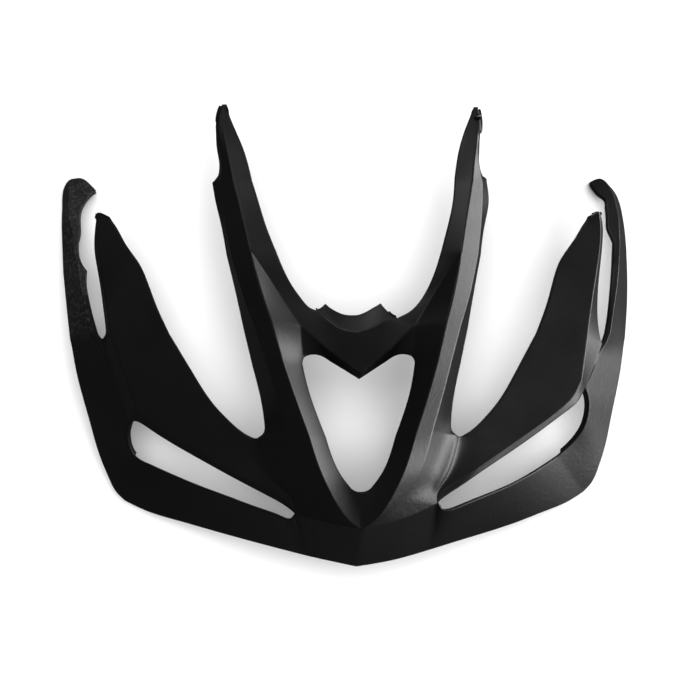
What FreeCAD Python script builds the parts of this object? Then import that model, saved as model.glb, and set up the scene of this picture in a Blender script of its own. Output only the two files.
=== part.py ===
import FreeCAD, Part
import os

# Clip-on visor of a cycling helmet, in millimetres.
# +Z is up and -Y is the front. The visor lies on its two front corners and its two arm hooks.
# Every member of the moulding is a wall that runs between named lines, so neighbours meet face to face.

V = FreeCAD.Vector
doc = FreeCAD.newDocument("HelmetVisor")

SIZES = [
    ("half_width", 101.1, "centre plane to the outside of an arm"),
    ("front_reach", 78.5, "origin to the front point of the brim"),
    ("crest_height", 48.6, "table to the top of the two ribs"),
    ("wall", 2.6, "thickness of the moulded wall"),
    ("flex_gap", 0.3, "clearance between an arm root and its rail"),
    ("flex_length", 10.6, "length of the rounded arm root"),
    ("socket_length", 16.0, "length of the round cut in the rail end"),
]

sheet = doc.addObject("Spreadsheet::Sheet", "Sizes")
for row, (alias, value, note) in enumerate(SIZES, start=1):
    sheet.set("A%d" % row, alias)
    sheet.set("B%d" % row, str(value))
    sheet.set("C%d" % row, note)
    sheet.setAlias("B%d" % row, alias)
doc.recompute()

# The lines below are drawn for these three sizes and stretch with the sheet.
DRAWN_HALF_WIDTH = 101.1
DRAWN_FRONT_REACH = 78.5
DRAWN_CREST_HEIGHT = 48.6
DRAWN_WALL = 2.6
stretch_x = sheet.half_width / DRAWN_HALF_WIDTH
stretch_y = sheet.front_reach / DRAWN_FRONT_REACH
stretch_z = sheet.crest_height / DRAWN_CREST_HEIGHT
thickness = sheet.wall / DRAWN_WALL

RIGHT, LEFT = 1, -1
SIDES = ((RIGHT, "right"), (LEFT, "left"))

# Steps from the top face to the underside of the wall, which lean with the face.
FLAT = (0, 0, -2.6)
CREST = (0, 0, -3.2)
RIB_SHOULDER = (-1.6, 0, -2.4)
RIB_FOOT = (-2.4, 0, -0.9)
ROOT_STRIP = (0, 0, -1.9)
ARM_STRIP = (0, 0, -2.4)
ARM_EDGE = (-1.2, 0, -2.6)
ARM_ROOT = (-2.03, 0, -1.63)
ARM_FACE = (-2.0, 0, -1.3)
RAIL_EDGE = (-1.7, 0.3, -1.9)
SLOT_END = (-1.5, 0.2, -2.1)
CORNER_EDGE = (-1.0, 1.4, -1.9)
CORNER_TOP = (-0.6, 0.2, -2.5)
BRIM_EDGE = (-0.3, 2.0, -1.6)
BRIM_TOP = (0, 0.1, -2.7)
FRONT_EDGE = (0, 2.2, -1.3)
FRONT_TOP = (0, 0.9, -2.7)

STRIP_CLEARANCE = 0.5

# The named lines of the moulding, drawn for the right side. Where the two sides differ, each has its own.
CENTRE_TOP = (0, -66.2, 41.8)
GAP_END = (33.1, -36, 35.2)
INNER_SPLIT = (61.7, -1, 30)
INNER_MIDDLE = (54.2, -13.8, 31.6)

# The prongs, ribs and collar.
STEP_CREST = (40.75, 52.2, 33.1)
STEP_SHOULDER = (44.2, 52.2, 31)
CREST_PRONG = [(43.3, 78.2, 28.7), (43.4, 68, 30), (42.1, 60, 31.4), STEP_CREST]
CREST_STEP = [STEP_CREST, (40.5, 50.6, 33.5)]
CREST_REAR = [(40.5, 50.6, 33.5), (36.8, 34, 38), (34.9, 25, 40.5)]
CREST_MIDDLE = [(34.9, 25, 40.5), (30.7, 7.7, 44.5), (28.5, 0.5, 45.8)]
CREST_BRIDGE = [(28.5, 0.5, 45.8), (25, -12.5, 47.6)]
CREST_HOLE = [(25, -12.5, 47.6), (21, -25, 48.6), (17, -36.5, 48.4)]
CREST_NOSE = [(17, -36.5, 48.4), (12.9, -49, 47), (9, -56.9, 45)]
CREST_FRONT = [(9, -56.9, 45), (5, -62.5, 43.3), CENTRE_TOP]

SHOULDER_STEP = [STEP_SHOULDER, (44.4, 50.6, 31.2)]
SHOULDER_REAR = [(44.4, 50.6, 31.2), (43.3, 38, 33.6), (41.3, 25, 36.8)]
SHOULDER_MIDDLE = [(41.3, 25, 36.8), (37, 9, 40.8), (34, 0.5, 42.7)]
SHOULDER_BRIDGE = [(34, 0.5, 42.7), (30, -12.5, 44.8)]
SHOULDER_HOLE = [(30, -12.5, 44.8), (26.3, -25, 45.8), (22.7, -36.5, 45.4)]
SHOULDER_NOSE = [(22.7, -36.5, 45.4), (19.5, -47, 43.6), (14, -57, 41.4)]
SHOULDER_FRONT = [(14, -57, 41.4), (8, -62.2, 41.4), CENTRE_TOP]

FOOT_REAR = {
    RIGHT: [(46.7, 51.4, 28), (47, 45, 29), (45, 36, 30.5), (42.9, 25, 32.2)],
    LEFT: [(47.7, 50.8, 28), (46.6, 44, 29.2), (44.8, 36, 30.5), (42.9, 25, 32.2)],
}
FOOT_MIDDLE = [(42.9, 25, 32.2), (39.4, 9.5, 34), (37.6, 0.5, 34.5)]
FOOT_BRIDGE = [(37.6, 0.5, 34.5), (34.6, -12.5, 34.5)]
FOOT_HOLE = [(34.6, -12.5, 34.5), (31.9, -24, 35), (30.9, -31, 35.3), (31.2, -34.6, 35.4), GAP_END]

COLLAR_FOOT = [(34.9, 25, 40.5), (28.2, 15, 39.4), (23.6, 7.6, 40.1), (18.5, -0.4, 41.3)]
HOLE_BRIDGE = [(18.5, -0.4, 41.3), (18.1, -12.5, 41)]
HOLE_RIB = [(18.1, -12.5, 41), (17.2, -17.4, 41.9), (15.4, -24.4, 43), (11, -36.5, 43.2)]
HOLE_NOSE = [(11, -36.5, 43.2), (6.3, -48.6, 42.6), (3, -53, 42)]
HOLE_FRONT = [(3, -53, 42), (1.6, -53.9, 41.9), (0, -54.2, 41.8)]

PRONG_TIP = {
    RIGHT: [(42.6, 78.1, 28.6), (41.7, 76.1, 28.6), (36.8, 63, 30.3), (34.6, 52.2, 32.2)],
    LEFT: [(42.6, 78.1, 28.6), (41.2, 73.6, 28.9), (36.8, 62.2, 30.2), (34.3, 52.2, 32.2)],
}
PRONG_SHOULDER = {
    RIGHT: [(43.9, 78.2, 28.5), (44.3, 73, 29.2), (43.4, 62, 30.2), STEP_SHOULDER],
    LEFT: [(43.9, 78.2, 28.5), (45.1, 72, 29.2), (44.6, 62, 30.2), STEP_SHOULDER],
}
PRONG_FOOT = {
    RIGHT: [(44.6, 77.4, 28.2), (45.1, 74.4, 28.2), (44.8, 69, 28.1), (44.2, 62, 28.1), (44.2, 56.5, 28.1),
            (45.2, 53.8, 28.2)],
    LEFT: [(44.8, 77.6, 28.2), (46.2, 73.5, 28.2), (46.4, 68, 28.1), (46, 62, 28.1), (45.2, 56.5, 28.1),
           (45.6, 53.4, 28.2)],
}
STEP_FOOT = {RIGHT: [PRONG_FOOT[RIGHT][-1], (46.5, 52.9, 28), FOOT_REAR[RIGHT][0]],
             LEFT: [PRONG_FOOT[LEFT][-1], (46.6, 52, 28), FOOT_REAR[LEFT][0]]}
COLLAR_STEP = {RIGHT: [(34.6, 52.2, 32.2), (34.4, 50.6, 32.5)], LEFT: [(34.3, 52.2, 32.2),
                                                                       (34, 50.6, 32.5)]}
COLLAR_REAR = {
    RIGHT: [(34.4, 50.6, 32.5), (33.4, 43.6, 34.3), (31.2, 35, 36), (28.2, 25, 37.6)],
    LEFT: [(34, 50.6, 32.5), (32.1, 43.7, 34.3), (29.7, 35, 36), (26.1, 25, 37.6)],
}
COLLAR_FRONT = {
    RIGHT: [(28.2, 25, 37.6), (24.6, 15.1, 38.8), (21.2, 9.1, 39.4), (17.8, 5.3, 40), (12.9, 2.6, 40.3)],
    LEFT: [(26.1, 25, 37.6), (21.4, 14, 38.8), (17.8, 8.6, 39.5), (15, 5.8, 40.1), (13.7, 5.3, 40.3)],
}

# The bridge.
EAR_TIP = {RIGHT: (7.8, 7.7, 38.8), LEFT: (10.5, 7.6, 38.8)}
BACK_EAR = {
    RIGHT: [(12.9, 2.6, 40.3), (11.4, 3.5, 40), (9.4, 5.7, 39.4), EAR_TIP[RIGHT]],
    LEFT: [(13.7, 5.3, 40.3), (12.4, 6, 39.8), EAR_TIP[LEFT]],
}
ARC_MIDDLE = (0, 3.8, 39.6)
BACK_ARC = {
    RIGHT: [EAR_TIP[RIGHT], (4.7, 6.0, 39.2), (2, 4.5, 39.5), ARC_MIDDLE],
    LEFT: [EAR_TIP[LEFT], (7.9, 5.7, 39.2), (4.2, 4, 39.5), ARC_MIDDLE],
}
LENS_EAR = {
    RIGHT: [(12.9, 2.6, 40.3), (8.6, 1.2, 41)],
    LEFT: [(13.7, 5.3, 40.3), (9.7, 1.3, 41.6)],
}
LENS_ARC = {
    RIGHT: [(8.6, 1.2, 41), (5, -0.9, 42), (0, -2.6, 43)],
    LEFT: [(9.7, 1.3, 41.6), (6.1, -1.3, 42.5), (0, -2.6, 43)],
}
KEEL_EAR = [(18.5, -0.4, 41.3), (10.5, -8, 42.8)]
KEEL_ARC = [(10.5, -8, 42.8), (0, -16.2, 44.5)]
FRONT_EAR = [(18.1, -12.5, 41), (17.5, -10.6, 40.6), (15.6, -9.7, 40.2), (13, -9.9, 40.2), (9.4, -12, 40.2)]
FRONT_ARC = [(9.4, -12, 40.2), (0, -18, 41)]

# The wings.
WING_INNER = {
    RIGHT: [(84.6, 41.7, 27.1), (82.6, 40.2, 27.1), (77.2, 32.7, 27.6), (71.2, 24.1, 28),
            (69.3, 19.5, 28.3),
            (66.6, 11, 29), INNER_SPLIT],
    LEFT: [(84.9, 40.4, 27.1), (82.3, 38.9, 27.1), (76.6, 30.2, 27.6), (71.3, 22.2, 28), (69.3, 17.6, 28.4),
           (66, 8.6, 29.2), INNER_SPLIT],
}
WING_CREASE = {
    RIGHT: [(85.6, 41.8, 27), (86.1, 36.5, 26.6), (84.6, 23, 26.6), (82.2, 11, 26.8), (79.8, -2, 27)],
    LEFT: [(85.6, 40.6, 27), (85.7, 35, 26.6), (85, 26.3, 26.6), (83.3, 13.5, 26.8), (80.9, -2, 27)],
}
WING_WALL = {
    RIGHT: [(86.3, 41.7, 26.6), (87.3, 38.8, 25.4), (87.6, 35, 24.6), (87, 28, 24), (86, 20, 23.3),
            (85.2, 10, 22.5), (85.6, 0.5, 21.8), (86.3, -3.3, 21.6)],
    LEFT: [(86.2, 40.4, 26.4), (86.9, 35.3, 25), (87.2, 30, 24.2), (85.7, 19.5, 23.3), (84.3, 10, 22.5),
           (83.4, 2.5, 22), (83.6, -0.4, 21.9), (84.5, -1.5, 21.8)],
}
SLOT_OUTER = {RIGHT: (79.2, -19.4, 24.4), LEFT: (75.2, -30.2, 23.2)}
PLATE_FRONT = [INNER_MIDDLE, (47.2, -24.7, 32.8), (42.6, -29.8, 33.6), (38, -34, 34.4),
               (35.3, -35.6, 34.9), GAP_END]
CREASE_FRONT = {
    RIGHT: [(77.2, -17, 27.6), (74.4, -21.8, 28), (70, -26.2, 28.6), (60, -33.3, 30.2),
            (50.4, -39.6, 31.8)],
    LEFT: [(72.6, -25.5, 28), (70.6, -28.1, 28.2), (67.6, -30.8, 28.7), (59.5, -36.2, 30.1),
           (51.2, -40.9, 31.6)],
}
EDGE_FRONT = {
    RIGHT: [SLOT_OUTER[RIGHT], (76, -24.3, 26), (71.4, -28, 26.8), (61.5, -34.9, 28.5),
            (51.6, -41.4, 30.2)],
    LEFT: [SLOT_OUTER[LEFT], (74.1, -29.6, 24.2), (72.6, -29.8, 25.4), (68.4, -32.4, 26.8),
           (60.2, -37.8, 28.3),
           (52.6, -42.3, 29.8)],
}

# The apron, the brim and the rails.
SLOT_INNER = {RIGHT: (26.1, -58, 34.5), LEFT: (21.2, -60.9, 34.3)}
BRIM_CREASE = {RIGHT: [SLOT_INNER[RIGHT], (13, -63.2, 38.2), CENTRE_TOP],
               LEFT: [SLOT_INNER[LEFT], (13, -63.2, 38.2), CENTRE_TOP]}
APRON_FOOT = {
    RIGHT: [GAP_END, (31, -43, 35.3), (27.9, -50, 35.2), (25.6, -55.5, 34.9), SLOT_INNER[RIGHT]],
    LEFT: [GAP_END, (30.4, -43, 35.3), (25.6, -51, 35.2), (21.4, -57.5, 34.9), SLOT_INNER[LEFT]],
}
APRON_CREASE = {
    RIGHT: [(50.4, -39.6, 31.8), (39, -46.9, 33.9), (31.5, -51.6, 34.7),
            (27.4, -55, 34.8), SLOT_INNER[RIGHT]],
    LEFT: [(51.2, -40.9, 31.6), (36.6, -49.4, 34), (27.8, -54.2, 34.7),
           (22.8, -57.7, 34.8), SLOT_INNER[LEFT]],
}
APRON_EDGE = {
    RIGHT: [(51.6, -41.4, 30.2), (40.2, -48.5, 32.7), (32.8, -53.2, 34),
            (28.2, -56.2, 34.4), SLOT_INNER[RIGHT]],
    LEFT: [(52.6, -42.3, 29.8), (37.3, -51, 32.8), (28.4, -55.8, 33.9),
           (23.6, -58.8, 34.3), SLOT_INNER[LEFT]],
}
RAIL_SLOT = {
    RIGHT: [SLOT_OUTER[RIGHT], (80.6, -22.6, 22.6), (80.9, -27, 20.8), (79.4, -32.6, 18.6),
            (76, -37.2, 17.2),
            (70.4, -42, 17.4)],
    LEFT: [SLOT_OUTER[LEFT], (76, -32.6, 21.6), (75.9, -36, 19.8), (74.6, -39.5, 18.2), (71.6, -42.2, 17.2),
           (68.6, -43.6, 17.4)],
}
BRIM_SLOT = {
    RIGHT: [(70.4, -42, 17.4), (62.2, -46.9, 20.2), (51.6, -52.2, 24.2), (41.1, -56.3, 28.6),
            (32.4, -59.6, 32),
            (28.8, -60.4, 33.2), (26.9, -59.9, 33.9), SLOT_INNER[RIGHT]],
    LEFT: [(68.6, -43.6, 17.4), (55.7, -49.6, 21.8), (41.8, -55.4, 27.6), (32.7, -59.1, 31),
           (25.4, -62, 33.3),
           (22.8, -62.7, 33.8), (21.3, -61.9, 34.1), SLOT_INNER[LEFT]],
}
CORNER = {RIGHT: (83, -54, 2), LEFT: (77.8, -55.2, 1.9)}
RAIL_END = {RIGHT: (93.6, -20.4, 11.2), LEFT: (91.2, -22.4, 10.8)}
RAIL_OUTER = {RIGHT: [(96.9, -3, 12), (95.4, -11.7, 12), RAIL_END[RIGHT]],
              LEFT: [(95.6, -3, 12), (93.9, -12, 12), RAIL_END[LEFT]]}
CORNER_OUTER = {
    RIGHT: [RAIL_END[RIGHT], (92, -28, 9.8), (89.9, -39, 7), (88, -45.8, 4.6),
            (86.1, -50.6, 2.7), CORNER[RIGHT]],
    LEFT: [RAIL_END[LEFT], (89.3, -29.4, 9.2), (86.6, -39.2, 6.6), (83.5, -47.2, 4),
           (80.9, -52.2, 2.5), CORNER[LEFT]],
}
BRIM_OUTER = {
    RIGHT: [CORNER[RIGHT], (77, -57.4, 3.5), (67.6, -60.9, 6.4), (59, -63.9, 8.7), (37, -70.2, 14),
            (25, -73.5, 16.8)],
    LEFT: [CORNER[LEFT], (70.6, -58.7, 3.4), (60.9, -61.9, 6.2), (49.9, -65.2, 9.8), (37, -69, 14),
           (16, -74.8, 18.2)],
}
BRIM_FRONT = {RIGHT: [BRIM_OUTER[RIGHT][-1], (12.5, -76.6, 19), (0, -78.5, 20)],
              LEFT: [BRIM_OUTER[LEFT][-1], (8, -76.7, 19.2), (0, -78.5, 20)]}

# The arms and their hooks: a level top strip and an outer face that drops from it.
SLOT_BOTTOM = {RIGHT: (86.3, -3.3, 21.6), LEFT: (84.5, -1.5, 21.8)}
ROOT_INNER = {RIGHT: (87.4, 0, 22), LEFT: (85.6, 0, 22)}
ROOT_UPPER = {RIGHT: (89.3, 0, 22), LEFT: (88.2, 0, 22)}
ROOT_LOWER = {RIGHT: (97.5, 0, 12), LEFT: (96.3, 0, 11.7)}
RAIL_UPPER = {RIGHT: (88.2, -2.9, 21.6), LEFT: (86.8, -1.8, 21.6)}
LEDGE = {RIGHT: [RAIL_UPPER[RIGHT], (85.6, -7, 21.8), (82.9, -12.5, 23), SLOT_OUTER[RIGHT]],
         LEFT: [RAIL_UPPER[LEFT], (84.4, -6, 21.6), (81.9, -12, 22.1), (78.5, -22, 22.6), SLOT_OUTER[LEFT]]}
ARM_INNER = {
    RIGHT: [ROOT_INNER[RIGHT], (88.2, 3.6, 22), (89.5, 11.3, 22), (92.1, 24.6, 18.5)],
    LEFT: [ROOT_INNER[LEFT], (87.3, 5.7, 22), (89, 12.8, 21.7), (89.9, 18.3, 20.6), (89.9, 22.4, 19.2)],
}
ARM_UPPER = {
    RIGHT: [ROOT_UPPER[RIGHT], (91.2, 10, 22), (92.9, 17.5, 20.8), (94.5, 24.6, 18.2)],
    LEFT: [ROOT_UPPER[LEFT], (89.3, 4.9, 22), (90.6, 11.5, 22), (92.2, 18.4, 20.6), (92.8, 23.4, 19)],
}
ARM_LOWER = {
    RIGHT: [ROOT_LOWER[RIGHT], (98.4, 6, 11.2), (99.5, 14.2, 10), (100.5, 24.6, 8)],
    LEFT: [ROOT_LOWER[LEFT], (97.2, 7, 10.8), (98.3, 16, 9.4), (99.2, 23.4, 8.2)],
}
NOTCH_INNER = {RIGHT: [ARM_INNER[RIGHT][-1], (93.1, 28.8, 15.9), (94.2, 33.7, 13.5)],
               LEFT: [ARM_INNER[LEFT][-1], (91.7, 25.1, 18), (92.9, 28.4, 16.1), (93.4, 33, 13.9)]}
NOTCH_UPPER = {RIGHT: [ARM_UPPER[RIGHT][-1], (96.6, 33.7, 13.5)],
               LEFT: [ARM_UPPER[LEFT][-1], (94.4, 28.4, 16.1), (95.3, 33.1, 13.8)]}
NOTCH_LOWER = {RIGHT: [ARM_LOWER[RIGHT][-1], (101, 33.7, 6.4)],
               LEFT: [ARM_LOWER[LEFT][-1], (99.9, 33.5, 6.4)]}
TIP_INNER = {RIGHT: [NOTCH_INNER[RIGHT][-1], (93.6, 36.2, 12.5), (92.9, 38.6, 11.6), (93.3, 44, 9.5),
                     (93.5, 48, 8)],
             LEFT: [NOTCH_INNER[LEFT][-1], (92.9, 35.9, 12.6), (93.2, 42, 10.2), (92.9, 46, 8.7),
                    (92.2, 48, 8)]}
TIP_UPPER = {RIGHT: [NOTCH_UPPER[RIGHT][-1], (97.2, 39.6, 11.2), (97.6, 44.3, 9.4), (97.4, 48, 8)],
             LEFT: [NOTCH_UPPER[LEFT][-1], (95.3, 35.9, 12.6), (97, 41.1, 10.6), (97.8, 45.8, 8.8),
                    (97.8, 48, 8)]}
TIP_LOWER = {RIGHT: [NOTCH_LOWER[RIGHT][-1], (101.1, 41, 4.8), (100.7, 48, 3.4)],
             LEFT: [NOTCH_LOWER[LEFT][-1], (100.4, 43, 4.6), (100.4, 48, 3.6)]}
HOOK_INNER = {RIGHT: [TIP_INNER[RIGHT][-1], (93.4, 50.9, 7.2), (92, 52.1, 6.9), (90, 54.5, 6.3),
                      (88.8, 56.6, 6.1)],
              LEFT: [TIP_INNER[LEFT][-1], (89.9, 51.4, 7.1), (88.3, 52.8, 6.7)]}
HOOK_UPPER = {RIGHT: [TIP_UPPER[RIGHT][-1], (96.9, 52.4, 6.8), (96.1, 55, 6.3), (94.4, 57.8, 6),
                      (92.5, 58.9, 6),
                      (90.7, 58.7, 6), (88.9, 57.8, 6)],
              LEFT: [TIP_UPPER[LEFT][-1], (97.8, 51.5, 7.1), (97.6, 55.4, 6.2), (96.3, 57.2, 6),
                     (94.3, 57.9, 6),
                     (92.6, 57.5, 6), (90.6, 55.9, 6.2), (88.6, 53.7, 6.5)]}
HOOK_LOWER = {RIGHT: [TIP_LOWER[RIGHT][-1], (99, 54.2, 2.7), (96.2, 57.7, 2.6), (93.6, 59.4, 2.6),
                      (91, 59.1, 2.6),
                      (89.3, 58.4, 2.6)],
              LEFT: [TIP_LOWER[LEFT][-1], (99.6, 56, 2.8), (98.2, 58, 2.7), (95, 58.5, 2.6),
                     (91.8, 57.2, 2.6),
                     (89.3, 54.6, 2.6)]}


def line(points, step_start, step_end=None):
    """A line on the top face, with the step to the underside at its two ends."""
    return points, step_start, step_end or step_start


def top_points(one_line, side):
    points = one_line[0]
    return [V(side * x * stretch_x, y * stretch_y, z * stretch_z) for x, y, z in points]


def under_points(one_line, side):
    tops = top_points(one_line, side)
    first, last = one_line[1], one_line[2]
    under = []
    for i, top in enumerate(tops):
        share = i / (len(tops) - 1)
        step = [thickness * (a + (b - a) * share) for a, b in zip(first, last)]
        under.append(top + V(side * step[0], step[1], step[2]))
    return under


def smooth_edge(points):
    if len(points) == 2:
        return Part.makeLine(points[0], points[1])
    curve = Part.BSplineCurve()
    curve.interpolate(points)
    return curve.toShape()


def end_faces(tops, unders, which):
    faces = []
    for i in range(len(tops) - 1):
        a, b = tops[i][which], tops[i + 1][which]
        if a.distanceToPoint(b) < 0.01:
            continue
        c, d = unders[i][which], unders[i + 1][which]
        faces.append(Part.makeRuledSurface(Part.makeLine(a, b), Part.makeLine(c, d)))
    return faces


def wall_solid(lines, side):
    """The closed wall that runs from the first line to the last."""
    tops = [top_points(one, side) for one in lines]
    unders = [under_points(one, side) for one in lines]
    top_edges = [smooth_edge(points) for points in tops]
    under_edges = [smooth_edge(points) for points in unders]
    faces = []
    for edges in (top_edges, under_edges):
        faces += [Part.makeRuledSurface(a, b) for a, b in zip(edges, edges[1:])]
    faces.append(Part.makeRuledSurface(top_edges[0], under_edges[0]))
    faces.append(Part.makeRuledSurface(top_edges[-1], under_edges[-1]))
    faces += end_faces(tops, unders, 0) + end_faces(tops, unders, -1)
    skin = Part.Compound(faces)
    skin.sewShape()
    solid = Part.Solid(skin.Shells[0])
    if solid.Volume < 0:
        solid.reverse()
    return solid


def wall(name, lines, side):
    piece = doc.addObject("Part::Feature", name)
    piece.Shape = wall_solid(lines, side)
    return piece


def joined(label, walls):
    """One sub-part made of walls that share whole faces."""
    if len(walls) == 1:
        walls[0].Label = label
        return walls[0]
    fused = doc.addObject("Part::MultiFuse", label)
    fused.Shapes = walls
    fused.Label = label
    return fused


def member(label, wall_lines, side):
    walls = [wall("%s_wall_%d" % (label, i), lines, side) for i, lines in enumerate(wall_lines)]
    return joined(label, walls)


def prong_lines(side):
    tip = [
        line(PRONG_TIP[side], FLAT),
        line(CREST_PRONG, FLAT, CREST),
        line(PRONG_SHOULDER[side], FLAT, RIB_SHOULDER),
        line(PRONG_FOOT[side], FLAT),
    ]
    shoulder = [
        line(COLLAR_STEP[side], FLAT),
        line(CREST_STEP, CREST),
        line(SHOULDER_STEP, RIB_SHOULDER),
        line(STEP_FOOT[side], FLAT, RIB_FOOT),
    ]
    return [tip, shoulder]


def rib_lines(side):
    rear = [
        line(CREST_REAR, CREST),
        line(SHOULDER_REAR, RIB_SHOULDER),
        line(FOOT_REAR[side], RIB_FOOT),
    ]
    middle = [
        line(COLLAR_FOOT, CREST, FLAT),
        line(CREST_MIDDLE, CREST),
        line(SHOULDER_MIDDLE, RIB_SHOULDER),
        line(FOOT_MIDDLE, RIB_FOOT),
    ]
    beside_bridge = [
        line(HOLE_BRIDGE, FLAT),
        line(CREST_BRIDGE, CREST),
        line(SHOULDER_BRIDGE, RIB_SHOULDER),
        line(FOOT_BRIDGE, RIB_FOOT),
    ]
    beside_hole = [
        line(HOLE_RIB, FLAT),
        line(CREST_HOLE, CREST),
        line(SHOULDER_HOLE, RIB_SHOULDER),
        line(FOOT_HOLE, RIB_FOOT, FLAT),
    ]
    return [rear, middle, beside_bridge, beside_hole]


def collar_lines(side):
    rear = [line(COLLAR_REAR[side], FLAT), line(CREST_REAR, CREST)]
    front = [line(COLLAR_FRONT[side], FLAT), line(COLLAR_FOOT, CREST, FLAT)]
    return [rear, front]


def bridge_lines(side):
    ear = [line(points, FLAT) for points in (BACK_EAR[side], LENS_EAR[side], KEEL_EAR, FRONT_EAR)]
    arc = [line(points, FLAT) for points in (BACK_ARC[side], LENS_ARC[side], KEEL_ARC, FRONT_ARC)]
    return [ear, arc]


def nose_lines(side):
    rear = [
        line(HOLE_NOSE, FLAT),
        line(CREST_NOSE, CREST),
        line(SHOULDER_NOSE, RIB_SHOULDER, FLAT),
    ]
    front = [
        line(HOLE_FRONT, FLAT),
        line(CREST_FRONT, CREST, FRONT_TOP),
        line(SHOULDER_FRONT, FLAT, FRONT_TOP),
        line(BRIM_CREASE[side], BRIM_TOP, FRONT_TOP),
        line(BRIM_FRONT[side], BRIM_EDGE, FRONT_EDGE),
    ]
    return [rear, front]


def apron_lines(side):
    beside_rib = [
        line(SHOULDER_NOSE, RIB_SHOULDER, FLAT),
        line(APRON_FOOT[side], FLAT, BRIM_TOP),
        line(APRON_CREASE[side], FLAT, BRIM_TOP),
        line(APRON_EDGE[side], FLAT, BRIM_TOP),
    ]
    return [beside_rib]


def valley_line(side):
    """The bottom of the valley between a wing and its rail."""
    return line([SLOT_BOTTOM[side], SLOT_OUTER[side]], FLAT, SLOT_END)


def wing_lines(side):
    rear = [
        line(WING_INNER[side], FLAT),
        line(WING_CREASE[side], FLAT),
        line(WING_WALL[side], FLAT),
    ]
    middle = [
        line([INNER_SPLIT, INNER_MIDDLE], FLAT),
        line([WING_CREASE[side][-1], CREASE_FRONT[side][0]], FLAT),
        valley_line(side),
    ]
    front = [
        line(PLATE_FRONT, FLAT),
        line(CREASE_FRONT[side], FLAT),
        line(EDGE_FRONT[side], SLOT_END, FLAT),
    ]
    return [rear, middle, front]


def rail_lines(side):
    at_arm = [
        line([ROOT_INNER[side], SLOT_BOTTOM[side]], ROOT_STRIP, FLAT),
        line([ROOT_UPPER[side], RAIL_UPPER[side]], ARM_EDGE),
        line([ROOT_LOWER[side], RAIL_OUTER[side][0]], ARM_ROOT),
    ]
    beside_wing = [
        valley_line(side),
        line(LEDGE[side], ARM_EDGE, SLOT_END),
        line(RAIL_OUTER[side], ARM_ROOT, RAIL_EDGE),
    ]
    corner = [
        line(RAIL_SLOT[side], SLOT_END, CORNER_TOP),
        line(CORNER_OUTER[side], RAIL_EDGE, CORNER_EDGE),
    ]
    return [at_arm, beside_wing, corner]


def brim_lines(side):
    return [[
        line(BRIM_SLOT[side], CORNER_TOP, BRIM_TOP),
        line(BRIM_OUTER[side], CORNER_EDGE, BRIM_EDGE),
    ]]


def arm_lines(side):
    # The strip starts a little away from the rail, so that it clears the rail when the arm swings in.
    start = (ROOT_INNER[side][0], STRIP_CLEARANCE, ROOT_INNER[side][2])
    root = [
        line([start] + ARM_INNER[side][1:], ROOT_STRIP, ARM_STRIP),
        line(ARM_UPPER[side], ARM_EDGE),
        line(ARM_LOWER[side], ARM_ROOT, ARM_FACE),
    ]
    notch = [
        line(NOTCH_INNER[side], ARM_STRIP),
        line(NOTCH_UPPER[side], ARM_EDGE),
        line(NOTCH_LOWER[side], ARM_FACE),
    ]
    tip = [
        line(TIP_INNER[side], ARM_STRIP),
        line(TIP_UPPER[side], ARM_EDGE),
        line(TIP_LOWER[side], ARM_FACE),
    ]
    return [root, notch, tip]


def hook_lines(side):
    return [[
        line(HOOK_INNER[side], ARM_STRIP, FLAT),
        line(HOOK_UPPER[side], ARM_EDGE, FLAT),
        line(HOOK_LOWER[side], ARM_FACE, FLAT),
    ]]


def root_cylinder(name, side, length_alias, radius_formula):
    """A round bar through the middle of the wall, across the root of the arm."""
    ends = [V(side * x * stretch_x, y * stretch_y, z * stretch_z)
            for x, y, z in (ROOT_UPPER[side], ROOT_LOWER[side])]
    half_step = V(side * ARM_ROOT[0], ARM_ROOT[1], ARM_ROOT[2]) * (thickness / 2)
    middle = (ends[0] + ends[1]) * 0.5 + half_step
    along = (ends[1] - ends[0]).normalize()
    bar = doc.addObject("Part::Cylinder", name)
    bar.setExpression("Radius", radius_formula)
    bar.setExpression("Height", "Sizes.%s" % length_alias)
    start = middle - along * (sheet.get(length_alias) / 2)
    bar.Placement = FreeCAD.Placement(start, FreeCAD.Rotation(V(0, 0, 1), along))
    return bar


parts = []
for side, word in SIDES:
    parts.append(member("prong_" + word, prong_lines(side), side))
    parts.append(member("rib_" + word, rib_lines(side), side))
    parts.append(member("collar_" + word, collar_lines(side), side))
    parts.append(member("apron_" + word, apron_lines(side), side))
    parts.append(member("wing_" + word, wing_lines(side), side))
    parts.append(member("brim_" + word, brim_lines(side), side))
    parts.append(member("hook_" + word, hook_lines(side), side))

    # The rail ends in a round hollow, and the root of the arm is rounded to match.
    rail_body = member("rail_%s_body" % word, rail_lines(side), side)
    hollow = root_cylinder("root_hollow_" + word, side, "socket_length",
                           "Sizes.wall / 2 + Sizes.flex_gap")
    rail = doc.addObject("Part::Cut", "rail_" + word)
    rail.Base = rail_body
    rail.Tool = hollow
    rail.Label = "rail_" + word
    parts.append(rail)

    arm_body = member("arm_%s_body" % word, arm_lines(side), side)
    round_root = root_cylinder("round_root_" + word, side, "flex_length", "Sizes.wall / 2")
    arm = doc.addObject("Part::Fuse", "arm_" + word)
    arm.Base = arm_body
    arm.Tool = round_root
    arm.Label = "arm_" + word
    parts.append(arm)

for label, make_lines in (("bridge", bridge_lines), ("nose", nose_lines)):
    walls = []
    for side, word in SIDES:
        walls += [wall("%s_%s_%d" % (label, word, i), one, side) for i, one in enumerate(make_lines(side))]
    parts.append(joined(label, walls))

doc.recompute()
for item in doc.Objects:
    if "Invalid" in item.State or "Error" in item.State:
        raise RuntimeError("%s did not build: %s" % (item.Name, item.State))
    if hasattr(item, "Shape") and (item.Shape.isNull() or not item.Shape.isValid()):
        raise RuntimeError("%s has a bad shape" % item.Name)

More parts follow.
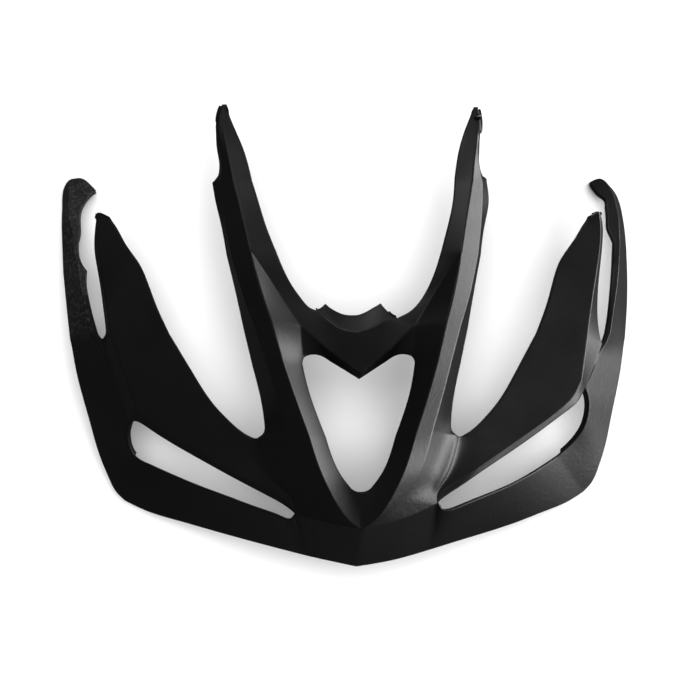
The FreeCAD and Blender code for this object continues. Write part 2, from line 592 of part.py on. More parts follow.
os.makedirs("parts", exist_ok=True)
for item in parts:
    if len(item.Shape.Solids) != 1:
        raise RuntimeError("%s is not one solid" % item.Label)
    item.Shape.exportStep("parts/%s.step" % item.Label)
    print(item.Label, round(item.Shape.Volume, 1))
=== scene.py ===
import math

import bpy
import numpy as np
from mathutils import Matrix, Vector


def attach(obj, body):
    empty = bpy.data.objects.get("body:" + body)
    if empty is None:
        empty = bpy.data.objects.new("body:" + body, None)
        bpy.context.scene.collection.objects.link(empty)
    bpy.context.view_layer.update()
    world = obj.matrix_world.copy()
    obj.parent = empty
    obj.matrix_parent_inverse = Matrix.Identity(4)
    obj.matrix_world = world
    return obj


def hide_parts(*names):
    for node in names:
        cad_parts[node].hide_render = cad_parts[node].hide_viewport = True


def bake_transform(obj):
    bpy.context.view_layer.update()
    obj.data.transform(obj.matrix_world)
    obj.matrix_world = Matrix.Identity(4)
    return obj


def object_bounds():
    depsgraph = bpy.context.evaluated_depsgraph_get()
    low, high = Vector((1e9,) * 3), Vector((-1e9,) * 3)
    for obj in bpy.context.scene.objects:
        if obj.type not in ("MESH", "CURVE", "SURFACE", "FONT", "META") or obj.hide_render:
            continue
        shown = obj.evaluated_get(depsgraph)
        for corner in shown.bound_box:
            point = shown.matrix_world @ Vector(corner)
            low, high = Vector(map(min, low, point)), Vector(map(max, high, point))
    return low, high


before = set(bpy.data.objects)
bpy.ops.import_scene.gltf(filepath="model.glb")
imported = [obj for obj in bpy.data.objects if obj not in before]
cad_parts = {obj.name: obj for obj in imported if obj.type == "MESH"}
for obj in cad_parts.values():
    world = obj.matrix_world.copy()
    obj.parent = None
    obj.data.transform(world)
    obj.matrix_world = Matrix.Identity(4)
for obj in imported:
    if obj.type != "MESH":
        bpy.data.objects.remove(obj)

MM = 0.001
cad_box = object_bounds()

# Sizes in millimetres.
WALL = 2.6            # thickness of the moulding
EDGE_ROUND = 0.55     # rounding of every edge of the moulding
ROW_INSET = 0.5       # first row of vertices beside a line
ARC_STEPS = 3         # faces in each quarter turn of a rounded edge
TOP_HELD = 0.3        # most of the local width that a rounded edge may take
BOX_MARGIN = 0.02     # how far the look stays inside the CAD box

RIGHT, LEFT = 1, -1
SIDES = ((RIGHT, "right"), (LEFT, "left"))


# The named lines of the moulding, in millimetres, drawn for the right side.
# Where the two sides differ, each has its own.
CENTRE_TOP = (0, -66.2, 41.8)
GAP_END = (33.1, -36, 35.2)
INNER_SPLIT = (61.7, -1, 30)
INNER_MIDDLE = (54.2, -13.8, 31.6)

# The prongs, ribs and collar.
STEP_CREST = (40.75, 52.2, 33.1)
STEP_SHOULDER = (44.2, 52.2, 31)
CREST_PRONG = [(43.3, 78.2, 28.7), (43.4, 68, 30), (42.1, 60, 31.4), STEP_CREST]
CREST_STEP = [STEP_CREST, (40.5, 50.6, 33.5)]
CREST_REAR = [(40.5, 50.6, 33.5), (36.8, 34, 38), (34.9, 25, 40.5)]
CREST_MIDDLE = [(34.9, 25, 40.5), (30.7, 7.7, 44.5), (28.5, 0.5, 45.8)]
CREST_BRIDGE = [(28.5, 0.5, 45.8), (25, -12.5, 47.6)]
CREST_HOLE = [(25, -12.5, 47.6), (21, -25, 48.6), (17, -36.5, 48.4)]
CREST_NOSE = [(17, -36.5, 48.4), (12.9, -49, 47), (9, -56.9, 45)]
CREST_FRONT = [(9, -56.9, 45), (5, -62.5, 43.3), CENTRE_TOP]

SHOULDER_STEP = [STEP_SHOULDER, (44.4, 50.6, 31.2)]
SHOULDER_REAR = [(44.4, 50.6, 31.2), (43.3, 38, 33.6), (41.3, 25, 36.8)]
SHOULDER_MIDDLE = [(41.3, 25, 36.8), (37, 9, 40.8), (34, 0.5, 42.7)]
SHOULDER_BRIDGE = [(34, 0.5, 42.7), (30, -12.5, 44.8)]
SHOULDER_HOLE = [(30, -12.5, 44.8), (26.3, -25, 45.8), (22.7, -36.5, 45.4)]
SHOULDER_NOSE = [(22.7, -36.5, 45.4), (19.5, -47, 43.6), (14, -57, 41.4)]
SHOULDER_FRONT = [(14, -57, 41.4), (8, -62.2, 41.4), CENTRE_TOP]

FOOT_REAR = {
    RIGHT: [(46.7, 51.4, 28), (47, 45, 29), (45, 36, 30.5), (42.9, 25, 32.2)],
    LEFT: [(47.7, 50.8, 28), (46.6, 44, 29.2), (44.8, 36, 30.5), (42.9, 25, 32.2)],
}
FOOT_MIDDLE = [(42.9, 25, 32.2), (39.4, 9.5, 34), (37.6, 0.5, 34.5)]
FOOT_BRIDGE = [(37.6, 0.5, 34.5), (34.6, -12.5, 34.5)]
FOOT_HOLE = [(34.6, -12.5, 34.5), (31.9, -24, 35), (30.9, -31, 35.3), (31.2, -34.6, 35.4), GAP_END]

COLLAR_FOOT = [(34.9, 25, 40.5), (28.2, 15, 39.4), (23.6, 7.6, 40.1), (18.5, -0.4, 41.3)]
HOLE_BRIDGE = [(18.5, -0.4, 41.3), (18.1, -12.5, 41)]
HOLE_RIB = [(18.1, -12.5, 41), (17.2, -17.4, 41.9), (15.4, -24.4, 43), (11, -36.5, 43.2)]
HOLE_NOSE = [(11, -36.5, 43.2), (6.3, -48.6, 42.6), (3, -53, 42)]
HOLE_FRONT = [(3, -53, 42), (1.6, -53.9, 41.9), (0, -54.2, 41.8)]

PRONG_TIP = {
    RIGHT: [(42.6, 78.1, 28.6), (41.7, 76.1, 28.6), (36.8, 63, 30.3), (34.6, 52.2, 32.2)],
    LEFT: [(42.6, 78.1, 28.6), (41.2, 73.6, 28.9), (36.8, 62.2, 30.2), (34.3, 52.2, 32.2)],
}
PRONG_SHOULDER = {
    RIGHT: [(43.9, 78.2, 28.5), (44.3, 73, 29.2), (43.4, 62, 30.2), STEP_SHOULDER],
    LEFT: [(43.9, 78.2, 28.5), (45.1, 72, 29.2), (44.6, 62, 30.2), STEP_SHOULDER],
}
PRONG_FOOT = {
    RIGHT: [(44.6, 77.4, 28.2), (45.1, 74.4, 28.2), (44.8, 69, 28.1), (44.2, 62, 28.1), (44.2, 56.5, 28.1),
            (45.2, 53.8, 28.2)],
    LEFT: [(44.8, 77.6, 28.2), (46.2, 73.5, 28.2), (46.4, 68, 28.1), (46, 62, 28.1), (45.2, 56.5, 28.1),
           (45.6, 53.4, 28.2)],
}
STEP_FOOT = {RIGHT: [PRONG_FOOT[RIGHT][-1], (46.5, 52.9, 28), FOOT_REAR[RIGHT][0]],
             LEFT: [PRONG_FOOT[LEFT][-1], (46.6, 52, 28), FOOT_REAR[LEFT][0]]}
COLLAR_STEP = {RIGHT: [(34.6, 52.2, 32.2), (34.4, 50.6, 32.5)], LEFT: [(34.3, 52.2, 32.2),
                                                                       (34, 50.6, 32.5)]}
COLLAR_REAR = {
    RIGHT: [(34.4, 50.6, 32.5), (33.4, 43.6, 34.3), (31.2, 35, 36), (28.2, 25, 37.6)],
    LEFT: [(34, 50.6, 32.5), (32.1, 43.7, 34.3), (29.7, 35, 36), (26.1, 25, 37.6)],
}
COLLAR_FRONT = {
    RIGHT: [(28.2, 25, 37.6), (24.6, 15.1, 38.8), (21.2, 9.1, 39.4), (17.8, 5.3, 40), (12.9, 2.6, 40.3)],
    LEFT: [(26.1, 25, 37.6), (21.4, 14, 38.8), (17.8, 8.6, 39.5), (15, 5.8, 40.1), (13.7, 5.3, 40.3)],
}

# The bridge.
EAR_TIP = {RIGHT: (7.8, 7.7, 38.8), LEFT: (10.5, 7.6, 38.8)}
BACK_EAR = {
    RIGHT: [(12.9, 2.6, 40.3), (11.4, 3.5, 40), (9.4, 5.7, 39.4), EAR_TIP[RIGHT]],
    LEFT: [(13.7, 5.3, 40.3), (12.4, 6, 39.8), EAR_TIP[LEFT]],
}
ARC_MIDDLE = (0, 3.8, 39.6)
BACK_ARC = {
    RIGHT: [EAR_TIP[RIGHT], (4.7, 6.0, 39.2), (2, 4.5, 39.5), ARC_MIDDLE],
    LEFT: [EAR_TIP[LEFT], (7.9, 5.7, 39.2), (4.2, 4, 39.5), ARC_MIDDLE],
}
LENS_EAR = {
    RIGHT: [(12.9, 2.6, 40.3), (8.6, 1.2, 41)],
    LEFT: [(13.7, 5.3, 40.3), (9.7, 1.3, 41.6)],
}
LENS_ARC = {
    RIGHT: [(8.6, 1.2, 41), (5, -0.9, 42), (0, -2.6, 43)],
    LEFT: [(9.7, 1.3, 41.6), (6.1, -1.3, 42.5), (0, -2.6, 43)],
}
KEEL_EAR = [(18.5, -0.4, 41.3), (10.5, -8, 42.8)]
KEEL_ARC = [(10.5, -8, 42.8), (0, -16.2, 44.5)]
FRONT_EAR = [(18.1, -12.5, 41), (17.5, -10.6, 40.6), (15.6, -9.7, 40.2), (13, -9.9, 40.2), (9.4, -12, 40.2)]
FRONT_ARC = [(9.4, -12, 40.2), (0, -18, 41)]

# The wings.
WING_INNER = {
    RIGHT: [(84.6, 41.7, 27.1), (82.6, 40.2, 27.1), (77.2, 32.7, 27.6), (71.2, 24.1, 28),
            (69.3, 19.5, 28.3),
            (66.6, 11, 29), INNER_SPLIT],
    LEFT: [(84.9, 40.4, 27.1), (82.3, 38.9, 27.1), (76.6, 30.2, 27.6), (71.3, 22.2, 28), (69.3, 17.6, 28.4),
           (66, 8.6, 29.2), INNER_SPLIT],
}
WING_CREASE = {
    RIGHT: [(85.6, 41.8, 27), (86.1, 36.5, 26.6), (84.6, 23, 26.6), (82.2, 11, 26.8), (79.8, -2, 27)],
    LEFT: [(85.6, 40.6, 27), (85.7, 35, 26.6), (85, 26.3, 26.6), (83.3, 13.5, 26.8), (80.9, -2, 27)],
}
WING_WALL = {
    RIGHT: [(86.3, 41.7, 26.6), (87.3, 38.8, 25.4), (87.6, 35, 24.6), (87, 28, 24), (86, 20, 23.3),
            (85.2, 10, 22.5), (85.6, 0.5, 21.8), (86.3, -3.3, 21.6)],
    LEFT: [(86.2, 40.4, 26.4), (86.9, 35.3, 25), (87.2, 30, 24.2), (85.7, 19.5, 23.3), (84.3, 10, 22.5),
           (83.4, 2.5, 22), (83.6, -0.4, 21.9), (84.5, -1.5, 21.8)],
}
SLOT_OUTER = {RIGHT: (79.2, -19.4, 24.4), LEFT: (75.2, -30.2, 23.2)}
PLATE_FRONT = [INNER_MIDDLE, (47.2, -24.7, 32.8), (42.6, -29.8, 33.6), (38, -34, 34.4),
               (35.3, -35.6, 34.9), GAP_END]
CREASE_FRONT = {
    RIGHT: [(77.2, -17, 27.6), (74.4, -21.8, 28), (70, -26.2, 28.6), (60, -33.3, 30.2),
            (50.4, -39.6, 31.8)],
    LEFT: [(72.6, -25.5, 28), (70.6, -28.1, 28.2), (67.6, -30.8, 28.7), (59.5, -36.2, 30.1),
           (51.2, -40.9, 31.6)],
}
EDGE_FRONT = {
    RIGHT: [SLOT_OUTER[RIGHT], (76, -24.3, 26), (71.4, -28, 26.8), (61.5, -34.9, 28.5),
            (51.6, -41.4, 30.2)],
    LEFT: [SLOT_OUTER[LEFT], (74.1, -29.6, 24.2), (72.6, -29.8, 25.4), (68.4, -32.4, 26.8),
           (60.2, -37.8, 28.3),
           (52.6, -42.3, 29.8)],
}

# The apron, the brim and the rails.
SLOT_INNER = {RIGHT: (26.1, -58, 34.5), LEFT: (21.2, -60.9, 34.3)}
BRIM_CREASE = {RIGHT: [SLOT_INNER[RIGHT], (13, -63.2, 38.2), CENTRE_TOP],
               LEFT: [SLOT_INNER[LEFT], (13, -63.2, 38.2), CENTRE_TOP]}
APRON_FOOT = {
    RIGHT: [GAP_END, (31, -43, 35.3), (27.9, -50, 35.2), (25.6, -55.5, 34.9), SLOT_INNER[RIGHT]],
    LEFT: [GAP_END, (30.4, -43, 35.3), (25.6, -51, 35.2), (21.4, -57.5, 34.9), SLOT_INNER[LEFT]],
}
APRON_CREASE = {
    RIGHT: [(50.4, -39.6, 31.8), (39, -46.9, 33.9), (31.5, -51.6, 34.7),
            (27.4, -55, 34.8), SLOT_INNER[RIGHT]],
    LEFT: [(51.2, -40.9, 31.6), (36.6, -49.4, 34), (27.8, -54.2, 34.7),
           (22.8, -57.7, 34.8), SLOT_INNER[LEFT]],
}
APRON_EDGE = {
    RIGHT: [(51.6, -41.4, 30.2), (40.2, -48.5, 32.7), (32.8, -53.2, 34),
            (28.2, -56.2, 34.4), SLOT_INNER[RIGHT]],
    LEFT: [(52.6, -42.3, 29.8), (37.3, -51, 32.8), (28.4, -55.8, 33.9),
           (23.6, -58.8, 34.3), SLOT_INNER[LEFT]],
}
RAIL_SLOT = {
    RIGHT: [SLOT_OUTER[RIGHT], (80.6, -22.6, 22.6), (80.9, -27, 20.8), (79.4, -32.6, 18.6),
            (76, -37.2, 17.2),
            (70.4, -42, 17.4)],
    LEFT: [SLOT_OUTER[LEFT], (76, -32.6, 21.6), (75.9, -36, 19.8), (74.6, -39.5, 18.2), (71.6, -42.2, 17.2),
           (68.6, -43.6, 17.4)],
}
BRIM_SLOT = {
    RIGHT: [(70.4, -42, 17.4), (62.2, -46.9, 20.2), (51.6, -52.2, 24.2), (41.1, -56.3, 28.6),
            (32.4, -59.6, 32),
            (28.8, -60.4, 33.2), (26.9, -59.9, 33.9), SLOT_INNER[RIGHT]],
    LEFT: [(68.6, -43.6, 17.4), (55.7, -49.6, 21.8), (41.8, -55.4, 27.6), (32.7, -59.1, 31),
           (25.4, -62, 33.3),
           (22.8, -62.7, 33.8), (21.3, -61.9, 34.1), SLOT_INNER[LEFT]],
}
CORNER = {RIGHT: (83, -54, 2), LEFT: (77.8, -55.2, 1.9)}
RAIL_END = {RIGHT: (93.6, -20.4, 11.2), LEFT: (91.2, -22.4, 10.8)}
RAIL_OUTER = {RIGHT: [(96.9, -3, 12), (95.4, -11.7, 12), RAIL_END[RIGHT]],
              LEFT: [(95.6, -3, 12), (93.9, -12, 12), RAIL_END[LEFT]]}
CORNER_OUTER = {
    RIGHT: [RAIL_END[RIGHT], (92, -28, 9.8), (89.9, -39, 7), (88, -45.8, 4.6),
            (86.1, -50.6, 2.7), CORNER[RIGHT]],
    LEFT: [RAIL_END[LEFT], (89.3, -29.4, 9.2), (86.6, -39.2, 6.6), (83.5, -47.2, 4),
           (80.9, -52.2, 2.5), CORNER[LEFT]],
}
BRIM_OUTER = {
    RIGHT: [CORNER[RIGHT], (77, -57.4, 3.5), (67.6, -60.9, 6.4), (59, -63.9, 8.7), (37, -70.2, 14),
            (25, -73.5, 16.8)],
    LEFT: [CORNER[LEFT], (70.6, -58.7, 3.4), (60.9, -61.9, 6.2), (49.9, -65.2, 9.8), (37, -69, 14),
           (16, -74.8, 18.2)],
}
BRIM_FRONT = {RIGHT: [BRIM_OUTER[RIGHT][-1], (12.5, -76.6, 19), (0, -78.5, 20)],
              LEFT: [BRIM_OUTER[LEFT][-1], (8, -76.7, 19.2), (0, -78.5, 20)]}

# The arms and their hooks: a level top strip and an outer face that drops from it.
SLOT_BOTTOM = {RIGHT: (86.3, -3.3, 21.6), LEFT: (84.5, -1.5, 21.8)}
ROOT_INNER = {RIGHT: (87.4, 0, 22), LEFT: (85.6, 0, 22)}
ROOT_UPPER = {RIGHT: (89.3, 0, 22), LEFT: (88.2, 0, 22)}
ROOT_LOWER = {RIGHT: (97.5, 0, 12), LEFT: (96.3, 0, 11.7)}
RAIL_UPPER = {RIGHT: (88.2, -2.9, 21.6), LEFT: (86.8, -1.8, 21.6)}
LEDGE = {RIGHT: [RAIL_UPPER[RIGHT], (85.6, -7, 21.8), (82.9, -12.5, 23), SLOT_OUTER[RIGHT]],
         LEFT: [RAIL_UPPER[LEFT], (84.4, -6, 21.6), (81.9, -12, 22.1), (78.5, -22, 22.6), SLOT_OUTER[LEFT]]}
ARM_INNER = {
    RIGHT: [ROOT_INNER[RIGHT], (88.2, 3.6, 22), (89.5, 11.3, 22), (92.1, 24.6, 18.5)],
    LEFT: [ROOT_INNER[LEFT], (87.3, 5.7, 22), (89, 12.8, 21.7), (89.9, 18.3, 20.6), (89.9, 22.4, 19.2)],
}
ARM_UPPER = {
    RIGHT: [ROOT_UPPER[RIGHT], (91.2, 10, 22), (92.9, 17.5, 20.8), (94.5, 24.6, 18.2)],
    LEFT: [ROOT_UPPER[LEFT], (89.3, 4.9, 22), (90.6, 11.5, 22), (92.2, 18.4, 20.6), (92.8, 23.4, 19)],
}
ARM_LOWER = {
    RIGHT: [ROOT_LOWER[RIGHT], (98.4, 6, 11.2), (99.5, 14.2, 10), (100.5, 24.6, 8)],
    LEFT: [ROOT_LOWER[LEFT], (97.2, 7, 10.8), (98.3, 16, 9.4), (99.2, 23.4, 8.2)],
}
NOTCH_INNER = {RIGHT: [ARM_INNER[RIGHT][-1], (93.1, 28.8, 15.9), (94.2, 33.7, 13.5)],
               LEFT: [ARM_INNER[LEFT][-1], (91.7, 25.1, 18), (92.9, 28.4, 16.1), (93.4, 33, 13.9)]}
NOTCH_UPPER = {RIGHT: [ARM_UPPER[RIGHT][-1], (96.6, 33.7, 13.5)],
               LEFT: [ARM_UPPER[LEFT][-1], (94.4, 28.4, 16.1), (95.3, 33.1, 13.8)]}
NOTCH_LOWER = {RIGHT: [ARM_LOWER[RIGHT][-1], (101, 33.7, 6.4)],
               LEFT: [ARM_LOWER[LEFT][-1], (99.9, 33.5, 6.4)]}
TIP_INNER = {RIGHT: [NOTCH_INNER[RIGHT][-1], (93.6, 36.2, 12.5), (92.9, 38.6, 11.6), (93.3, 44, 9.5),
                     (93.5, 48, 8)],
             LEFT: [NOTCH_INNER[LEFT][-1], (92.9, 35.9, 12.6), (93.2, 42, 10.2), (92.9, 46, 8.7),
                    (92.2, 48, 8)]}
TIP_UPPER = {RIGHT: [NOTCH_UPPER[RIGHT][-1], (97.2, 39.6, 11.2), (97.6, 44.3, 9.4), (97.4, 48, 8)],
             LEFT: [NOTCH_UPPER[LEFT][-1], (95.3, 35.9, 12.6), (97, 41.1, 10.6), (97.8, 45.8, 8.8),
                    (97.8, 48, 8)]}
TIP_LOWER = {RIGHT: [NOTCH_LOWER[RIGHT][-1], (101.1, 41, 4.8), (100.7, 48, 3.4)],
             LEFT: [NOTCH_LOWER[LEFT][-1], (100.4, 43, 4.6), (100.4, 48, 3.6)]}
HOOK_INNER = {RIGHT: [TIP_INNER[RIGHT][-1], (93.4, 50.9, 7.2), (92, 52.1, 6.9), (90, 54.5, 6.3),
                      (88.8, 56.6, 6.1)],
              LEFT: [TIP_INNER[LEFT][-1], (89.9, 51.4, 7.1), (88.3, 52.8, 6.7)]}
HOOK_UPPER = {RIGHT: [TIP_UPPER[RIGHT][-1], (96.9, 52.4, 6.8), (96.1, 55, 6.3), (94.4, 57.8, 6),
                      (92.5, 58.9, 6),
                      (90.7, 58.7, 6), (88.9, 57.8, 6)],
              LEFT: [TIP_UPPER[LEFT][-1], (97.8, 51.5, 7.1), (97.6, 55.4, 6.2), (96.3, 57.2, 6),
                     (94.3, 57.9, 6),
                     (92.6, 57.5, 6), (90.6, 55.9, 6.2), (88.6, 53.7, 6.5)]}
HOOK_LOWER = {RIGHT: [TIP_LOWER[RIGHT][-1], (99, 54.2, 2.7), (96.2, 57.7, 2.6), (93.6, 59.4, 2.6),
                      (91, 59.1, 2.6),
                      (89.3, 58.4, 2.6)],
              LEFT: [TIP_LOWER[LEFT][-1], (99.6, 56, 2.8), (98.2, 58, 2.7), (95, 58.5, 2.6),
                     (91.8, 57.2, 2.6),
                     (89.3, 54.6, 2.6)]}

# The bottom of the saddle between a rib and its wing, where the skin is softened.
SADDLE_LINE = [(33.6, -36.5, 35.2), (32, -43, 35.4), (29.5, -49, 35.2)]

# Steps from the top face of an arm to its underside, at its inner, upper and lower line.
ROOT_FALLS = ((0, 0, -1.9), (-1.2, 0, -2.6), (-2.03, 0, -1.63))
ARM_FALLS = ((0, 0, -2.4), (-1.2, 0, -2.6), (-2.0, 0, -1.3))
HOOK_FALLS = ((0, 0, -2.6), (0, 0, -2.6), (0, 0, -2.6))

# Rows of samples along each stretch, and across each strip.
ALONG = dict(prong=30, step=4, rear=24, middle=26, bridge=12, hole=26, nose=22, front=14, ear=14, arc=14,
             wing=56, wing_front=40, rail=3, rail_middle=22, corner=40, brim=56, arm=26, notch=10,
             tip=14, hook=18)
ACROSS = dict(collar=9, inner=9, outer=7, foot=10, keel=9, facet=8, face=12, apron=10, plate=24, bevel=6,
              brim=15, rail=15, ledge=6, arm=15)

# Strips whose rows are spread evenly, without close rows beside their lines.
EVEN = ("face",)


def along(points, count):
    """Evenly spread points on the smooth curve through the control points."""
    p = np.array(points, float)
    if len(p) == 2:
        share = np.linspace(0, 1, count + 1)[:, None]
        return p[0] * (1 - share) + p[1] * share
    knots = np.concatenate([[0], np.cumsum(np.linalg.norm(np.diff(p, axis=0), axis=1))])
    gaps = np.diff(knots)
    n = len(p)
    system = np.eye(n)
    right_side = np.zeros((n, 3))
    for i in range(1, n - 1):
        system[i, i - 1:i + 2] = gaps[i - 1], 2 * (gaps[i - 1] + gaps[i]), gaps[i]
        right_side[i] = 6 * ((p[i + 1] - p[i]) / gaps[i] - (p[i] - p[i - 1]) / gaps[i - 1])
    bend = np.linalg.solve(system, right_side)
    s = np.linspace(0, knots[-1], count + 1)
    k = np.clip(np.searchsorted(knots, s, side="right") - 1, 0, n - 2)
    h = gaps[k][:, None]
    a = (knots[k + 1] - s)[:, None] / h
    b = (s - knots[k])[:, None] / h
    return a * p[k] + b * p[k + 1] + ((a ** 3 - a) * bend[k] + (b ** 3 - b) * bend[k + 1]) * h ** 2 / 6


def across(width, count, even=False):
    """Shares of the way across a strip, with close rows beside both of its lines."""
    even_shares = np.linspace(0, 1, count + 1)
    if even or count < 4:
        return even_shares
    inset = min(ROW_INSET / max(width, 1e-6), 0.8 / count)
    inner = inset + (1 - 2 * inset) * np.linspace(0, 1, count - 1)
    return np.concatenate([[0], inner, [1]])


def facing_up(a, b, side):
    """Whether a strip from line a to line b, run in the order of its samples, faces up."""
    turn = np.cross(np.diff(a, axis=0), b[:-1] - a[:-1]) + np.cross(np.diff(b, axis=0), b[1:] - a[1:])
    return turn[:, 2].sum() * side > 0


class Skin:
    """The top face of the whole moulding as one mesh of quads, each marked with its member."""

    def __init__(self):
        self.points = []
        self.faces = []
        self.members = []
        self.index = {}
        self.falls = {}

    def vertex(self, p):
        key = (round(p[0] * 200), round(p[1] * 200), round(p[2] * 200))
        for dx in (0, -1, 1):
            for dy in (0, -1, 1):
                for dz in (0, -1, 1):
                    found = self.index.get((key[0] + dx, key[1] + dy, key[2] + dz))
                    if found is not None:
                        return found
        self.index[key] = len(self.points)
        self.points.append(p)
        return self.index[key]

    def strip(self, member, side, line_a, line_b, count, rows, even=False, falls=None):
        a, b = along(line_a, count), along(line_b, count)
        grid = []
        for i, (p, q) in enumerate(zip(a, b)):
            shares = across(np.linalg.norm(q - p), rows, even)
            line = [p + (q - p) * s for s in shares]
            grid.append([self.vertex(np.array([v[0] * side, v[1], v[2]])) for v in line])
            if falls is not None:
                start, end = falls
                fall = start + (end - start) * i / count
                for v, s in zip(grid[-1], shares):
                    self.falls[v] = (fall[0] + (fall[1] - fall[0]) * s) * (side, 1, 1)
        upwards = facing_up(a, b, side)
        for i in range(count):
            for j in range(rows):
                corners = [grid[i][j], grid[i + 1][j], grid[i + 1][j + 1], grid[i][j + 1]]
                if not upwards:
                    corners.reverse()
                face = []
                for c in corners:
                    if c not in face:
                        face.append(c)
                if len(face) > 2:
                    self.faces.append(face)
                    self.members.append(member)

    def wall(self, member, side, lines, count, rows, even=(), falls=None):
        for i, (a, b) in enumerate(zip(lines, lines[1:])):
            own = None if falls is None else np.array(falls, float)[:, i:i + 2]
            self.strip(member, side, a, b, ALONG[count], ACROSS[rows[i]], rows[i] in even, own)


def build_skin():
    skin = Skin()
    for side, word in SIDES:
        prong, rib, collar = "prong_" + word, "rib_" + word, "collar_" + word
        apron, wing, brim = "apron_" + word, "wing_" + word, "brim_" + word
        rail, arm, hook = "rail_" + word, "arm_" + word, "hook_" + word
        rib_rows = ["inner", "outer", "foot"]
        prong_rows = ["collar", "outer", "foot"]
        skin.wall(prong, side, [PRONG_TIP[side], CREST_PRONG, PRONG_SHOULDER[side], PRONG_FOOT[side]],
                  "prong", prong_rows)
        skin.wall(prong, side, [COLLAR_STEP[side], CREST_STEP, SHOULDER_STEP, STEP_FOOT[side]],
                  "step", prong_rows)
        skin.wall(rib, side, [CREST_REAR, SHOULDER_REAR, FOOT_REAR[side]], "rear", ["outer", "foot"])
        for lines, count in (([COLLAR_FOOT, CREST_MIDDLE, SHOULDER_MIDDLE, FOOT_MIDDLE], "middle"),
                             ([HOLE_BRIDGE, CREST_BRIDGE, SHOULDER_BRIDGE, FOOT_BRIDGE], "bridge"),
                             ([HOLE_RIB, CREST_HOLE, SHOULDER_HOLE, FOOT_HOLE], "hole")):
            skin.wall(rib, side, lines, count, rib_rows)
        skin.wall(collar, side, [COLLAR_REAR[side], CREST_REAR], "rear", ["collar"])
        skin.wall(collar, side, [COLLAR_FRONT[side], COLLAR_FOOT], "middle", ["collar"])
        bridge_rows = ["facet", "keel", "face"]
        skin.wall("bridge", side, [BACK_EAR[side], LENS_EAR[side], KEEL_EAR, FRONT_EAR],
                  "ear", bridge_rows, EVEN)
        skin.wall("bridge", side, [BACK_ARC[side], LENS_ARC[side], KEEL_ARC, FRONT_ARC],
                  "arc", bridge_rows, EVEN)
        skin.wall("nose", side, [HOLE_NOSE, CREST_NOSE, SHOULDER_NOSE], "nose", ["inner", "outer"])
        front_lines = [HOLE_FRONT, CREST_FRONT, SHOULDER_FRONT, BRIM_CREASE[side], BRIM_FRONT[side]]
        skin.wall("nose", side, front_lines, "front", ["inner", "outer", "apron", "brim"])
        skin.wall(apron, side, [SHOULDER_NOSE, APRON_FOOT[side], APRON_CREASE[side], APRON_EDGE[side]],
                  "nose", ["apron", "plate", "bevel"])
        valley = [WING_WALL[side][-1], SLOT_OUTER[side]]
        plate_middle = [INNER_SPLIT, INNER_MIDDLE]
        crease_middle = [WING_CREASE[side][-1], CREASE_FRONT[side][0]]
        wing_rows = ["plate", "bevel"]
        skin.wall(wing, side, [WING_INNER[side], WING_CREASE[side], WING_WALL[side]], "wing", wing_rows)
        skin.wall(wing, side, [plate_middle, crease_middle, valley], "rail_middle", wing_rows)
        skin.wall(wing, side, [PLATE_FRONT, CREASE_FRONT[side], EDGE_FRONT[side]], "wing_front", wing_rows)
        arm_rows = ["ledge", "arm"]
        rail_end = [
            [ROOT_INNER[side], SLOT_BOTTOM[side]],
            [ROOT_UPPER[side], RAIL_UPPER[side]],
            [ROOT_LOWER[side], RAIL_OUTER[side][0]],
        ]
        skin.wall(rail, side, rail_end, "rail", arm_rows, falls=(ROOT_FALLS, ROOT_FALLS))
        skin.wall(rail, side, [valley, LEDGE[side], RAIL_OUTER[side]], "rail_middle", ["ledge", "rail"])
        skin.wall(rail, side, [RAIL_SLOT[side], CORNER_OUTER[side]], "corner", ["rail"])
        skin.wall(brim, side, [BRIM_SLOT[side], BRIM_OUTER[side]], "brim", ["brim"])
        skin.wall(arm, side, [ARM_INNER[side], ARM_UPPER[side], ARM_LOWER[side]], "arm", arm_rows,
                  falls=(ROOT_FALLS, ARM_FALLS))
        skin.wall(arm, side, [NOTCH_INNER[side], NOTCH_UPPER[side], NOTCH_LOWER[side]], "notch", arm_rows,
                  falls=(ARM_FALLS, ARM_FALLS))
        skin.wall(arm, side, [TIP_INNER[side], TIP_UPPER[side], TIP_LOWER[side]], "tip", arm_rows,
                  falls=(ARM_FALLS, ARM_FALLS))
        skin.wall(hook, side, [HOOK_INNER[side], HOOK_UPPER[side], HOOK_LOWER[side]], "hook", arm_rows,
                  falls=(ARM_FALLS, HOOK_FALLS))
    return skin


def unit(v):
    return v / np.maximum(np.linalg.norm(v, axis=-1, keepdims=True), 1e-12)


def edge_uses(faces):
    """Each edge's faces, with the direction in which the first of them runs it."""
    uses = {}
    for f, face in enumerate(faces):
        for i, a in enumerate(face):
            b = face[(i + 1) % len(face)]
            uses.setdefault((min(a, b), max(a, b)), []).append((f, a, b))
    return uses


def vertex_normals(points, faces):
    total = np.zeros_like(points)
    for face in faces:
        p = points[face]
        n = np.cross(p[2] - p[0], p[3] - p[1]) if len(face) == 4 else np.cross(p[1] - p[0], p[2] - p[0])
        total[face] += n
    return unit(total)


def neighbour_pairs(uses):
    pairs = np.array(list(uses.keys()))
    return np.concatenate([pairs, pairs[:, ::-1]])


def averaged(values, pairs, rounds, weight=None):
    """Values drawn towards those of the neighbouring vertices, round by round."""
    count = np.bincount(pairs[:, 0], minlength=len(values)).astype(float)[:, None]
    out = values.copy()
    for _ in range(rounds):
        total = np.zeros_like(out)
        np.add.at(total, pairs[:, 0], out[pairs[:, 1]])
        mean = total / np.maximum(count, 1)
        out = mean if weight is None else out + (mean - out) * weight
    return out


